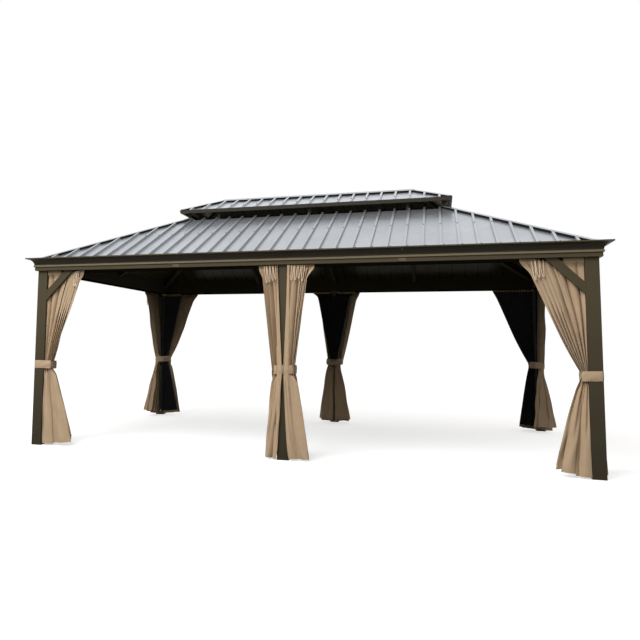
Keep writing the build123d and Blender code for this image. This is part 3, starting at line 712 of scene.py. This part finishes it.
# Small parts that repeat, grown by geometry nodes on points with a turn and a size

def through(tree, kind, geometry, inputs=None):
    """Geometry passed through a node, whose other inputs are linked or set."""
    return add_node(tree, f"GeometryNode{kind}", {0: geometry, **(inputs or {})}).outputs[0]


def scatter(tree, given, instance):
    """Puts an instance on every place, by the place's own turn and size."""
    fields = {}
    for label in ("turn", "size"):
        field = add_node(tree, "GeometryNodeInputNamedAttribute", {"Name": label})
        field.data_type = "FLOAT_VECTOR"
        fields[label] = field.outputs["Attribute"]
    euler = add_node(tree, "FunctionNodeEulerToRotation", {"Euler": fields["turn"]})
    inputs = {"Instance": instance, "Rotation": euler.outputs[0], "Scale": fields["size"]}
    return through(tree, "InstanceOnPoints", given["Places"], inputs)


def upright(tree, curve):
    """A curve made in plan, stood up facing the front."""
    return through(tree, "Transform", curve, {"Rotation": (math.pi / 2, 0, 0)})


def circle(tree, radius, resolution):
    """A circle whose radius is a socket."""
    inputs = {"Radius": radius, "Resolution": resolution}
    return add_node(tree, "GeometryNodeCurvePrimitiveCircle", inputs).outputs["Curve"]


def end_tree(tree, given, sink, geometry):
    """Ends a tree in realised instances and its material."""
    solid = through(tree, "RealizeInstances", geometry)
    feed(tree, sink, {"Geometry": through(tree, "SetMaterial", solid, {"Material": given["Material"]})})
    return tree


def cord_tree():
    """Heading loops: a half round stretched to each place's width and depth, with a round cord along it."""
    tree, given, sink = new_group("Hanging loops", "Geometry", ("Places", "Cord radius", "Material"), ("Geometry",))
    half_round = {"Resolution": 17, "Radius": 1.0, "Start Angle": math.pi, "Sweep Angle": math.pi}
    arc = add_node(tree, "GeometryNodeCurveArc", half_round).outputs["Curve"]
    lines = through(tree, "RealizeInstances", scatter(tree, given, upright(tree, arc)))
    inputs = {"Profile Curve": circle(tree, given["Cord radius"], 6), "Fill Caps": True}
    cord = through(tree, "CurveToMesh", lines, inputs)
    return end_tree(tree, given, sink, through(tree, "SetShadeSmooth", cord))


def hook_tree():
    """Round hooks: a ring of wire at each place."""
    labels = ("Places", "Ring radius", "Wire radius", "Material")
    tree, given, sink = new_group("Rail hooks", "Geometry", labels, ("Geometry",))
    ring = upright(tree, circle(tree, given["Ring radius"], 12))
    hook = through(tree, "CurveToMesh", ring, {"Profile Curve": circle(tree, given["Wire radius"], 5)})
    return end_tree(tree, given, sink, through(tree, "SetShadeSmooth", scatter(tree, given, hook)))


def screw_tree():
    """Roofing screws: a hexagon head on a round washer at each place."""
    labels = ("Places", "Washer radius", "Head height", "Material")
    tree, given, sink = new_group("Roof screws", "Geometry", labels, ("Geometry",))
    washer, height = given["Washer radius"], given["Head height"]
    parts = tree.nodes.new("GeometryNodeJoinGeometry")
    for sides, radius, depth in (
        (14, washer, math_node(tree, "MULTIPLY", height, 0.3)),
        (6, math_node(tree, "MULTIPLY", washer, 0.62), height),
    ):
        drum = add_node(tree, "GeometryNodeMeshCylinder", {"Vertices": sides, "Radius": radius, "Depth": depth})
        lift = add_node(tree, "ShaderNodeCombineXYZ", {"Z": math_node(tree, "MULTIPLY", depth, 0.5)})
        raised = through(tree, "Transform", drum.outputs["Mesh"], {"Translation": lift.outputs[0]})
        feed(tree, parts, {0: raised})
    return end_tree(tree, given, sink, scatter(tree, given, parts.outputs[0]))


def grow(name, tree, places, turns, sizes, inputs):
    """A plain mesh piece grown by a tree on places that each have a turn and a size."""
    seeds = bpy.data.meshes.new(name)
    seeds.from_pydata([tuple(place) for place in places], [], [])
    for label, rows in (("turn", turns), ("size", sizes)):
        layer = seeds.attributes.new(label, "FLOAT_VECTOR", "POINT")
        layer.data.foreach_set("vector", np.array(rows, np.float32).reshape(-1))
    piece = put(name, seeds)
    modifier = piece.modifiers.new("grown", "NODES")
    modifier.node_group = tree
    for item in tree.interface.items_tree:
        if item.in_out == "INPUT" and item.name in inputs:
            modifier[item.identifier] = inputs[item.name]
    mesh = bpy.data.meshes.new_from_object(piece.evaluated_get(bpy.context.evaluated_depsgraph_get()))
    if not mesh.polygons:
        raise RuntimeError(f"{name} grew no faces")
    piece.modifiers.remove(modifier)
    piece.data = mesh
    bpy.data.meshes.remove(seeds)
    declare(piece)
    return piece


class GAZEBO_OT_paint_metal(bpy.types.Operator):
    """Gives the frame, the roof and the rails their coated finishes"""

    bl_idname = "gazebo.paint_metal"
    bl_label = "Paint metal"

    def execute(self, context):
        colours = context.scene.gazebo_finishes
        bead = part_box("front_cornice")[0].z + BEAD_RISE

        def bronze(name, tone, *finish, **wear):
            return coated_metal(name, toned(colours.frame_colour, tone), *finish, **wear)

        def steel(name, tone):
            return roof_steel(name, toned(colours.roof_colour, tone), colours.underside_colour)

        # Roughness, spread of tone and gloss follow each name and tone
        for nodes, material in (
            (BRONZE_NODES, bronze("bronze_powder_coat", 1.12, 0.45, 0.1, 0.14)),
            # The posts get painted shade towards the ground
            (POST_NODES, bronze("bronze_post_coat", 1.12, 0.45, 0.1, 0.14, foot=0.45)),
            # The cornice gets painted shade below, painted light on its upward slopes and a painted highlight along
            # its bead
            (CORNICE_NODES, bronze(
                "bronze_cornice_coat", 1.45, 0.45, 0.1, 0.14,
                dust=(0.24, 2.5), rubbed=(bead - BEAD_HALF, bead + BEAD_HALF),
            )),
            (INNER_NODES, bronze("shaded_bar_coat", 0.6, 0.6, 0.1, 0.05)),
            (["cornice_joint_plates"], bronze("bare_joint_plate", 2.2, 0.4, 0.1, 0.3)),
            (["upper_fascia"], coated_metal("bronze_trim_coat", colours.trim_colour, 0.4, 0.1, 0.2)),
            (["curtain_rails"], bronze("dark_rail_coat", 0.5, 0.7, 0.08, 0.0)),
            (LOWER_ROOF_NODES, steel("coated_roof_steel", 1.0)),
            # The upper tier's steel is a copy of the lower tier's at 1.25 times its colour, painted light
            (UPPER_ROOF_NODES, steel("coated_upper_steel", 1.25)),
        ):
            for node in nodes:
                NODES[node].data.materials.clear()
                NODES[node].data.materials.append(material)
        return {"FINISHED"}


class GAZEBO_OT_hang_curtains(bpy.types.Operator):
    """Hangs the gathered curtains on the outer track, two at each post"""

    bl_idname = "gazebo.hang_curtains"
    bl_label = "Hang curtains"

    def execute(self, context):
        cloth = context.scene.gazebo_cloth
        tree = cord_tree()

        def shape_of(side, end):
            fit = fit_of(side, end)
            return {
                **(MIDDLE_CURTAIN if end.startswith("middle") else CORNER_CURTAIN), **fit,
                **drawn_widths(end, (fit["top"], fit["tie"], fit["hem"])),
                "folds": cloth.curtain_folds + (0 if side in LONG_SIDES else 1),
                "hem_height": cloth.hem_height,
            }

        def loops_of(name, points, turn, place, shape, seed):
            """Pale cord loops that hang over the front of the pleats, beyond the brace where there is one."""
            rng = np.random.default_rng(seed + 5000)
            start, way = place
            if shape["braced"]:
                first = BRACE_REACH + 0.025
                last = min(first + 0.075, 0.9 * shape["top"])
                count, depths = 3, (0.85, 1.15)
            else:
                first, last = 0.2 * shape["top"], 0.75 * shape["top"]
                count, depths = 4, (0.7, 1.0)
            along = (points[..., 0] - start) * way
            places, turns, sizes = [], [], []
            for spot in np.linspace(first, last, count) + rng.uniform(-0.003, 0.003, count):
                depth = rng.uniform(*depths) * cloth.loop_depth
                behind = (np.abs(along - spot) < LOOP_WINDOW) & (points[..., 2] > RAIL_FOOT - 1.2 * depth)
                places.append((start + way * spot, points[..., 1][behind].min() - LOOP_GAP, RAIL_FOOT + LOOP_TUCK))
                turns.append((0, 0.1 * way, math.radians(turn)))
                sizes.append((rng.uniform(*LOOP_HALF_WIDTHS), 1, depth))
            return [grow(
                name.replace("_curtain_", "_heading_loops_"), tree, to_side(np.array(places), turn), turns, sizes,
                {"Cord radius": cloth.cord_radius, "Material": heading_tape()},
            )]

        hang("curtain", 11, shape_of, [curtain_cloth()], loops_of)
        return {"FINISHED"}


class GAZEBO_OT_hang_nets(bpy.types.Operator):
    """Hangs the gathered insect nets on the inner track, with bound hems"""

    bl_idname = "gazebo.hang_nets"
    bl_label = "Hang nets"

    def execute(self, context):
        cloth = context.scene.gazebo_cloth
        fasteners = context.scene.gazebo_fasteners
        radius = fasteners.hook_radius
        tree = hook_tree()
        brass = coated_metal("brass_hook", (0.72, 0.6, 0.2), 0.35, 0.12, 0.4)

        def shape_of(side, end):
            return {
                **(MIDDLE_NET if end.startswith("middle") else CORNER_NET),
                **drawn_widths(end, NET_FITS.get((side, end), END_NET_FIT)),
                "folds": cloth.net_folds, "hem_height": cloth.hem_height + NET_LIFT,
            }

        def hooks_of(name, points, turn, place, shape, seed):
            """Brass hooks that carry the net's top edge on its inner creases."""
            columns = range(shape["detail"] // 2, points.shape[1], 2 * shape["detail"])
            places = [
                (points[0, column, 0], points[0, column, 1] + radius / 2, RAIL_FOOT - radius) for column in columns
            ]
            return [grow(
                name.replace("_net_", "_net_hooks_"), tree, to_side(np.array(places), turn),
                [(0, 0, math.radians(turn))] * len(places), [(1, 1, 1)] * len(places),
                {"Ring radius": radius, "Wire radius": fasteners.hook_wire, "Material": brass},
            )]

        hang("net", 301, shape_of, [net_mesh(), curtain_cloth()], hooks_of)
        return {"FINISHED"}


# Straps: rounding of their corners, rows across their width, how far they sag, bulge and crease

STRAP_BEND, STRAP_ROWS = 0.03, 9
STRAP_SAG, STRAP_BULGE, STRAP_CREASE = 0.004, 0.004, 0.0025


def rounded_loop(corners, radius, steps):
    """A closed plan outline with each corner turned on an arc."""
    corners = [np.array(corner, float) for corner in corners]
    loop = []
    for before, corner, after in zip(corners[-1:] + corners[:-1], corners, corners[1:] + corners[:1]):
        back, ahead = np.linalg.norm(before - corner), np.linalg.norm(after - corner)
        to_before, to_after = (before - corner) / back, (after - corner) / ahead
        cut = min(radius, 0.45 * back, 0.45 * ahead)
        for share in np.linspace(0, 1, steps):
            first = corner + to_before * cut * (1 - share)
            second = corner + to_after * cut * share
            loop.append(first + (second - first) * share)
    return np.array(loop)


def strap_loops():
    """Plan outline of the strap at each post."""
    near, far = 0.004, 0.126
    slack = 0.009
    tie = bpy.context.scene.gazebo_cloth.corner_tie
    half = POST_SIZE / 2
    flat, arm, inside = half * 0.9, half + 0.062, POST_SIZE + 0.046
    loops = {}
    for row, flip_y, outside in (("front", 1, -0.02), ("back", -1, -0.005)):
        middle = [
            (-flat, outside), (flat, outside), (arm, 0.02), (arm, 0.11),
            (flat, inside), (-flat, inside), (-arm, 0.11), (-arm, 0.02),
        ]
        loops[f"{row}_middle"] = [(u, flip_y * (v - POST_FACE_Y)) for u, v in middle]
        for column, flip_x in (("left", -1), ("right", 1)):
            end = column if row == "front" else {"left": "right", "right": "left"}[column]
            reach = POST_SIZE + tie * fit_of(row, end)["tie"] + slack
            turned = POST_SIZE + tie + slack
            corner = [
                (near, -near), (-POST_SIZE, -near), (-reach, near), (-reach, far),
                (-far, turned), (-near, turned), (near, POST_SIZE),
            ]
            loops[f"{row}_{column}"] = [
                (flip_x * (POST_FACE_X + u), flip_y * (v - POST_FACE_Y)) for u, v in corner
            ]
    return loops


class GAZEBO_OT_tie_straps(bpy.types.Operator):
    """Ties a cloth strap round each post and its hangings"""

    bl_idname = "gazebo.tie_straps"
    bl_label = "Tie straps"

    def execute(self, context):
        for number, (post, corners) in enumerate(strap_loops().items()):
            rng = np.random.default_rng(700 + number)
            plan = rounded_loop(corners, STRAP_BEND, 7)
            area = sum(a[0] * b[1] - b[0] * a[1] for a, b in zip(plan, np.roll(plan, -1, axis=0)))
            if area < 0:
                plan = plan[::-1]
            centre = plan.mean(axis=0)
            steps = np.linalg.norm(np.roll(plan, -1, axis=0) - plan, axis=1)
            length = steps.sum()
            run = np.concatenate([[0], np.cumsum(steps)[:-1]])
            outward = (plan - centre) / np.linalg.norm(plan - centre, axis=1)[:, None]
            lift = STRAP_SAG * np.sin(run * 2 * math.pi / length + number)
            crease = waves(rng, 5, (60, 4))
            rows = np.linspace(0, 1, STRAP_ROWS)
            points = np.empty((len(rows), len(plan), 3))
            for row, down in enumerate(rows):
                bulge = STRAP_BULGE * math.sin(math.pi * down) + STRAP_CREASE * crease(run, down * 3)
                points[row, :, :2] = plan + outward * bulge[:, None]
                points[row, :, 2] = TIE_HEIGHT + STRAP_WIDTH * (0.5 - down) + lift
            flat = (STRAP_WIDTH, float(length))
            piece = grid_object(f"{post}_tie_strap", points, flat, [curtain_cloth()], closed=True)
            declare(piece, "tie_back_straps")
        return {"FINISHED"}


# Roof fittings

def roof_slopes():
    """The slopes of both tiers: eave half width, length beyond it, height at the eave under the caps, rise."""
    found = {}
    for tier, cap in (("lower", "hip_caps"), ("upper", "upper_hip_caps")):
        low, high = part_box(cap)
        sheet_low, sheet_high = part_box(f"{tier}_roof_front")
        run = -sheet_low.y + sheet_high.y
        skin = low.z - sheet_low.z
        rise = (sheet_high.z - sheet_low.z - skin) / run
        found[tier] = (-low.y, high.x + low.y, low.z, rise)
    return found


def chevron(spot, half_width, depth):
    """One end of a strip that is bent over a hip: six points."""
    x, y, z = spot
    sides = [(x - half_width, y), (x, y), (x, y + half_width)]
    return [(a, b, z) for a, b in sides] + [(a, b, z - depth) for a, b in reversed(sides)]


class GAZEBO_OT_fit_roof(bpy.types.Operator):
    """Closes the hips and the ridge under their caps, and drives the roofing screws"""

    bl_idname = "gazebo.fit_roof"
    bl_label = "Fit roof"

    def execute(self, context):
        self.close_hips()
        self.drive_screws(context.scene.gazebo_fasteners)
        return {"FINISHED"}

    def close_hips(self):
        half_width, inset, ridge_half, ridge_depth = 0.036, 0.006, 0.04, 0.024
        cap_gap, ridge_gap, sheet_gap = 0.0006, 0.001, 0.004
        peaks = {"lower": 0.38, "upper": 0.05}
        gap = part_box("hip_caps")[0].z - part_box("lower_roof_front")[0].z - sheet_gap
        points, faces = [], []

        def prism(ring_a, ring_b):
            first = len(points)
            count = len(ring_a)
            points.extend(ring_a + ring_b)
            for k in range(count):
                n = (k + 1) % count
                faces.append((first + k, first + n, first + count + n, first + count + k))
            faces.append(tuple(first + k for k in range(count)))
            faces.append(tuple(first + count + k for k in range(count)))

        for tier, (eave, longer, height, rise) in roof_slopes().items():
            top = peaks[tier]
            corner = (eave + longer - inset, -eave + inset, height + inset * rise - cap_gap)
            peak = (top + longer, -top, height + (eave - top) * rise - cap_gap)
            rings = [chevron(spot, half_width, gap) for spot in (corner, peak)]
            for flip_x in (1, -1):
                for flip_y in (1, -1):
                    prism(*([(flip_x * x, flip_y * y, z) for x, y, z in ring] for ring in rings))
        eave, longer, height, rise = roof_slopes()["upper"]
        low = height + (eave - ridge_half) * rise - ridge_gap
        section = [(-ridge_half, low), (0, low + 0.8 * ridge_half * rise), (ridge_half, low)]
        section += [(y, z - ridge_depth) for y, z in reversed(section)]
        prism(*([(x, y, z) for y, z in section] for x in (-longer - ridge_half, longer + ridge_half)))
        mesh = bpy.data.meshes.new("roof_closure_strips")
        mesh.from_pydata(points, [], faces)
        built = bmesh.new()
        built.from_mesh(mesh)
        bmesh.ops.recalc_face_normals(built, faces=built.faces)
        built.to_mesh(mesh)
        built.free()
        # Near-black strips fill the gaps between the ribs under the hip caps and the ridge cap
        mesh.materials.append(coated_metal("near_black_cap_strip", (0.014, 0.013, 0.012), 0.8, 0.25, 0.05))
        declare(put("roof_closure_strips", mesh))

    def drive_screws(self, fasteners):
        spacing, rib = fasteners.rib_spacing, fasteners.rib_height
        end_margin, beside_rib = 0.07, 0.03

        # Lines of screws on each tier: share of the way up, and whether they stand on the ribs or beside them
        lines = {"lower": ((0.52, True), (0.1, False), (0.95, True)), "upper": ((0.25, True),)}
        crowns = {"lower": 0.375, "upper": 0.0}
        places, turns = [], []
        for tier, (eave, longer, height, rise) in roof_slopes().items():
            lean = math.atan(rise)
            for quarter in range(4):
                across, half = (eave, eave + longer) if quarter % 2 == 0 else (eave + longer, eave)
                for share, on_rib in lines[tier]:
                    inward = share * (eave - crowns[tier])
                    count = int((half - inward - end_margin) / spacing)
                    drop = 0.0 if on_rib else rib / math.cos(lean)
                    row = np.empty((2 * count + 1, 3))
                    row[:, 0] = np.arange(-count, count + 1) * spacing + (0.0 if on_rib else beside_rib)
                    row[:, 1:] = -across + inward, height + inward * rise - drop
                    places.extend(to_side(row, 90 * quarter))
                    turns.extend([(lean, 0, math.radians(90 * quarter))] * len(row))
        grow("roof_screws", screw_tree(), places, turns, [(1, 1, 1)] * len(places), {
            "Washer radius": fasteners.screw_radius, "Head height": fasteners.screw_height,
            "Material": bpy.data.materials["coated_roof_steel"],
        })


# Stage

def by_ray(tree, unseen, seen, output):
    """Shows one shader to the camera, to reflections and through glass, and the other to the rest of the light."""
    rays = tree.nodes.new("ShaderNodeLightPath").outputs
    looked_at = math_node(tree, "MAXIMUM", rays["Is Camera Ray"], rays["Is Glossy Ray"])
    looked_at = math_node(tree, "MAXIMUM", looked_at, rays["Is Transmission Ray"])
    mix = add_node(tree, "ShaderNodeMixShader", {0: looked_at, 1: unseen.outputs[0], 2: seen.outputs[0]})
    feed(tree, tree.nodes[output], {"Surface": mix.outputs[0]})


FLOOR_HALF, FLOOR_DROP = 60.0, 0.001
LIGHT_PLACE, LIGHT_SIZE = (-3.0, -8.0, 9.0), 7.0
LIGHT_TURN, LIGHT_TILT = math.radians(-20), math.radians(42)


class GAZEBO_OT_set_stage(bpy.types.Operator):
    """Sets the pale floor, the soft light and the camera"""

    bl_idname = "gazebo.set_stage"
    bl_label = "Set stage"

    def execute(self, context):
        scene = context.scene
        scene.view_settings.view_transform = "Standard"
        self.lay_floor()
        self.light_world(scene)
        self.hang_light(scene.gazebo_stage)
        self.place_camera(scene, scene.gazebo_stage)
        return {"FINISHED"}

    def lay_floor(self):
        mesh = bpy.data.meshes.new("floor")
        corners = [(x * FLOOR_HALF, y * FLOOR_HALF, 0) for x, y in ((-1, -1), (1, -1), (1, 1), (-1, 1))]
        mesh.from_pydata(corners, [], [(0, 1, 2, 3)])
        floor = put("floor", mesh)
        floor.location.z = -FLOOR_DROP
        material, tree, shader = new_material("pale_floor")
        tree.nodes.remove(shader)
        dull = add_node(tree, "ShaderNodeBsdfDiffuse", {"Color": (0.06, 0.06, 0.045, 1)})
        pale = add_node(tree, "ShaderNodeBsdfDiffuse", {"Color": (0.5, 0.5, 0.5, 1)})
        glow = add_node(tree, "ShaderNodeEmission", {"Strength": 0.62})
        lit = add_node(tree, "ShaderNodeAddShader", {0: pale.outputs[0], 1: glow.outputs[0]})
        by_ray(tree, dull, lit, "Material Output")
        mesh.materials.append(material)

    def light_world(self, scene):
        world = bpy.data.worlds.new("studio")
        scene.world = world
        world.use_nodes = True
        tree = world.node_tree
        above = math_node(tree, "MAXIMUM", split(tree, spots(tree, "Generated"))["Z"])
        glow = {"Color": (1.0, 0.985, 0.95, 1), "Strength": scaled(tree, above, 0.6, 0.45)}
        soft = feed(tree, tree.nodes["Background"], glow)
        white = add_node(tree, "ShaderNodeBackground", {"Color": (1, 1, 1, 1), "Strength": 1.0})
        by_ray(tree, soft, white, "World Output")

    def hang_light(self, stage):
        light = bpy.data.lights.new("key", "AREA")
        light.shape = "DISK"
        light.size = LIGHT_SIZE
        light.energy = stage.key_power
        lamp = put("key", light)
        lamp.matrix_world = (
            Matrix.Translation(LIGHT_PLACE)
            @ Matrix.Rotation(LIGHT_TURN, 4, "Z")
            @ Matrix.Rotation(LIGHT_TILT, 4, "X")
        )
        lamp.visible_glossy = False

    def place_camera(self, scene, stage):
        turn, tilt, roll = stage.camera_turn, stage.camera_tilt, stage.camera_roll
        ahead = np.array([-math.sin(turn), math.cos(turn), 0.0])
        side = np.array([math.cos(turn), math.sin(turn), 0.0])
        up = np.array([0.0, 0.0, 1.0])
        view = ahead * math.cos(tilt) + up * math.sin(tilt)
        rise = up * math.cos(tilt) - ahead * math.sin(tilt)
        data = bpy.data.cameras.new("camera")
        data.sensor_width = 36.0
        data.lens = stage.lens
        data.shift_x = stage.shift_x
        data.shift_y = stage.shift_y
        place = np.eye(4)
        place[:3, 0] = side * math.cos(roll) + rise * math.sin(roll)
        place[:3, 1] = rise * math.cos(roll) - side * math.sin(roll)
        place[:3, 2] = -view
        place[:3, 3] = stage.camera_place
        scene.camera = put("camera", data)
        scene.camera.matrix_world = Matrix(place.tolist())


class GAZEBO_PT_panel(bpy.types.Panel):
    """Lists the steps and the sizes of the gazebo's finish"""

    bl_idname = "GAZEBO_PT_panel"
    bl_label = "Gazebo"
    bl_space_type = "VIEW_3D"
    bl_region_type = "UI"
    bl_category = "Gazebo"

    def draw(self, context):
        layout = self.layout
        for step in STEPS:
            layout.operator(step.bl_idname)
        for group in SETTINGS:
            settings = getattr(context.scene, group)
            box = layout.box()
            for key in settings.bl_rna.properties.keys():
                if key not in ("rna_type", "name"):
                    box.prop(settings, key)


SETTINGS = {
    "gazebo_finishes": GazeboFinishes,
    "gazebo_cloth": GazeboCloth,
    "gazebo_fasteners": GazeboFasteners,
    "gazebo_stage": GazeboStage,
}
STEPS = (
    GAZEBO_OT_paint_metal,
    GAZEBO_OT_hang_curtains,
    GAZEBO_OT_hang_nets,
    GAZEBO_OT_tie_straps,
    GAZEBO_OT_fit_roof,
    GAZEBO_OT_set_stage,
)


def register():
    for kind in (*SETTINGS.values(), *STEPS, GAZEBO_PT_panel):
        bpy.utils.register_class(kind)
    for name, group in SETTINGS.items():
        setattr(bpy.types.Scene, name, PointerProperty(type=group))


def unregister():
    for name in SETTINGS:
        delattr(bpy.types.Scene, name)
    for kind in (GAZEBO_PT_panel, *reversed(STEPS), *reversed(list(SETTINGS.values()))):
        bpy.utils.unregister_class(kind)


def main():
    register()
    bpy.ops.gazebo.paint_metal()
    bpy.ops.gazebo.hang_curtains()
    bpy.ops.gazebo.hang_nets()
    bpy.ops.gazebo.tie_straps()
    bpy.ops.gazebo.fit_roof()
    bpy.ops.gazebo.set_stage()


if __name__ == "__main__":
    main()
